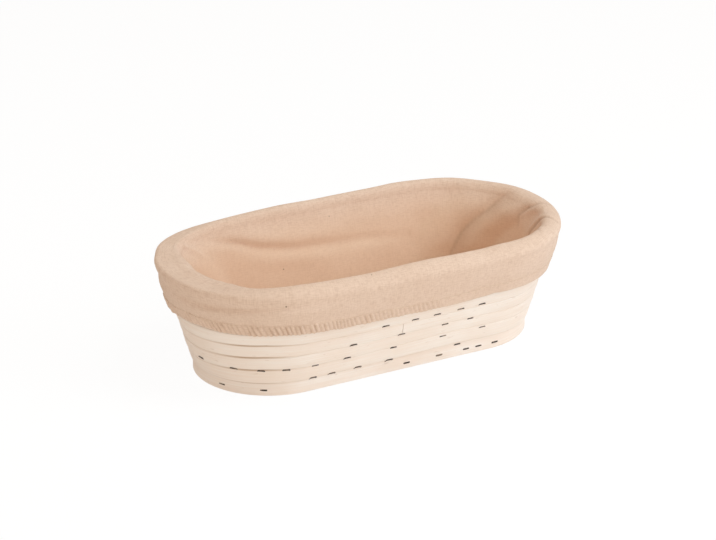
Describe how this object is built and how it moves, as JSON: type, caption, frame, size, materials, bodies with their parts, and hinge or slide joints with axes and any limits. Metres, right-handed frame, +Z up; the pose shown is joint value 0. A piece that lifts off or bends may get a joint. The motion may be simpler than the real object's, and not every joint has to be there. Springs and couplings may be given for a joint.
{
  "type": "proofing basket",
  "caption": "Oval proofing basket of wound cane stapled turn to turn, with a removable cloth liner whose elastic hem folds down over the rim.",
  "frame": {"origin": "middle of the underside, on the surface that the basket stands on", "axes": "+X along the basket, +Y to its back, where the winding climbs, +Z up out of its mouth"},
  "size_m": [0.2828, 0.1498, 0.0781],
  "materials": {
    "cane": "peeled round rattan cane, pale and dull, with a fine grain along it",
    "staple_steel": "dull grey flat staple wire",
    "liner_cloth": "unbleached plain-woven cotton and linen, with small dark flecks",
    "elastic": "flat braided elastic"
  },
  "bodies": {
    "basket": {"core_cane_front": "cane", "core_cane_back": "cane", "floor_cane": "cane", "lower_wall_cane": "cane", "upper_wall_cane": "cane", "core_staples": "staple_steel", "floor_staples_1": "staple_steel", "floor_staples_2": "staple_steel", "floor_staples_3": "staple_steel", "wall_staples_1": "staple_steel", "wall_staples_2": "staple_steel", "wall_staples_3": "staple_steel", "wall_staples_4": "staple_steel", "wall_staples_5": "staple_steel", "wall_staples_6": "staple_steel", "wall_staples_7": "staple_steel"},
    "liner": {"liner_floor": "liner_cloth", "liner_side": "liner_cloth", "hem_elastic": "elastic"}
  },
  "joints": [
    {"name": "liner_lift", "type": "slide", "parent": "basket", "child": "liner", "axis": [0, 0, 1], "range_m": [0, 0.12], "deforming": ["liner_side", "hem_elastic"]}
  ]
}
